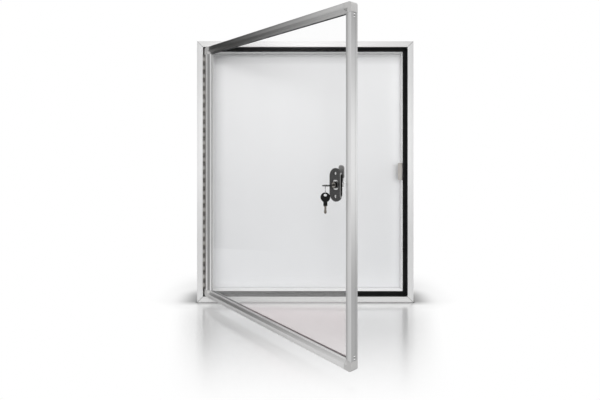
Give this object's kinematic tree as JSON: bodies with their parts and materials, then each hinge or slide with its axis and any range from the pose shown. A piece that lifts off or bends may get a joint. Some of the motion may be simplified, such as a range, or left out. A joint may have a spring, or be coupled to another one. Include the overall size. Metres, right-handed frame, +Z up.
{
  "type": "lockable notice board",
  "caption": "Wall-hung lockable display case: mitred aluminium frame, white back panel and a glazed door on a piano hinge, held by a cam lock through the glass.",
  "frame": {"origin": "middle of the top rail's flat wall face, where the case lies against the wall", "axes": "+X to the right seen from the front, +Y into the wall, so the front faces -Y, +Z up; the door is open about 50 degrees at rest, as pictured"},
  "size_m": [0.65, 0.5302, 0.785],
  "materials": {
    "case_silver": "satin anodised, natural silver",
    "door_silver": "satin anodised, natural silver",
    "white_panel": "white enamelled steel sheet",
    "black_rubber": "matt black extruded rubber",
    "grey_plastic": "warm grey moulded plastic",
    "hinge_steel": "dull nickel-plated steel strip",
    "zinc": "bare cast zinc, out of sight",
    "screw_steel": "bright zinc-plated steel",
    "strike_steel": "zinc-plated steel strip, slightly warm",
    "glass": "clear float glass",
    "lock_black": "black-grey enamelled zinc",
    "cam_grey": "grey zinc-plated steel",
    "nickel": "bright nickel-plated wire",
    "key_black": "black moulded plastic, smooth",
    "key_brown": "dark nickelled brass"
  },
  "bodies": {
    "case": {"case_rail_left": "case_silver", "case_rail_top": "case_silver", "case_rail_right": "case_silver", "case_rail_bottom": "case_silver", "corner_key_top_left": "zinc", "corner_key_top_right": "zinc", "corner_key_bottom_left": "zinc", "corner_key_bottom_right": "zinc", "back_panel": "white_panel", "rebate_seal": "black_rubber", "strike": "strike_steel", "strike_screw_lower": "screw_steel", "strike_screw_upper": "screw_steel", "hinge_leaf_case": "hinge_steel", "hinge_case_screw_1": "screw_steel", "hinge_case_screw_2": "screw_steel", "hinge_case_screw_3": "screw_steel", "hinge_case_screw_4": "screw_steel", "hinge_case_screw_5": "screw_steel", "hinge_pin": "hinge_steel"},
    "door": {"hinge_leaf_door": "hinge_steel", "hinge_door_screw_1": "screw_steel", "hinge_door_screw_2": "screw_steel", "hinge_door_screw_3": "screw_steel", "door_rail_hinge_side": "door_silver", "door_rail_top": "door_silver", "door_rail_lock_side": "door_silver", "door_rail_bottom": "door_silver", "corner_block_hinge_top": "grey_plastic", "corner_block_hinge_bottom": "grey_plastic", "corner_block_lock_top": "grey_plastic", "corner_block_lock_bottom": "grey_plastic", "corner_screw_hinge_top_1": "screw_steel", "corner_screw_hinge_top_2": "screw_steel", "corner_screw_hinge_bottom_1": "screw_steel", "corner_screw_hinge_bottom_2": "screw_steel", "corner_screw_lock_top_1": "screw_steel", "corner_screw_lock_top_2": "screw_steel", "corner_screw_lock_bottom_1": "screw_steel", "corner_screw_lock_bottom_2": "screw_steel", "glass_pane": "glass", "glazing_seal": "black_rubber", "lock_plate": "lock_black", "lock_rear_plate": "lock_black", "lock_screw_lower": "screw_steel", "lock_screw_upper": "screw_steel", "lock_housing": "lock_black", "lock_circlip": "screw_steel"},
    "lock_core": {"lock_plug": "lock_black", "lock_cam": "cam_grey", "cam_nut": "screw_steel"},
    "key": {"key_head": "key_black", "key_blade": "key_brown"},
    "ring": {"key_ring": "nickel"},
    "spare_key": {"spare_key_head": "key_black", "spare_key_blade": "key_brown"}
  },
  "joints": [
    {"name": "door_hinge", "type": "hinge", "parent": "case", "child": "door", "pos_m": [-0.30345, -0.0625, -0.37825], "axis": [0, 0, -1], "range_deg": [-50.4, 124.6]},
    {"name": "lock_turn", "type": "hinge", "parent": "door", "child": "lock_core", "pos_m": [0.05435, -0.49108, -0.37825], "axis": [0.7705, 0.6374, 0], "range_deg": [0, 90]},
    {"name": "key_pull", "type": "slide", "parent": "lock_core", "child": "key", "axis": [-0.7705, -0.6374, 0], "range_m": [0, 0.03]},
    {"name": "ring_swing", "type": "hinge", "parent": "key", "child": "ring", "pos_m": [0.03632, -0.506, -0.37625], "axis": [-0.0767, -0.9971, 0], "range_deg": [-8, 8]},
    {"name": "spare_key_swing", "type": "hinge", "parent": "ring", "child": "spare_key", "pos_m": [0.03587, -0.51183, -0.39535], "axis": [-0.0767, -0.9971, 0], "range_deg": [-35, 35]}
  ]
}
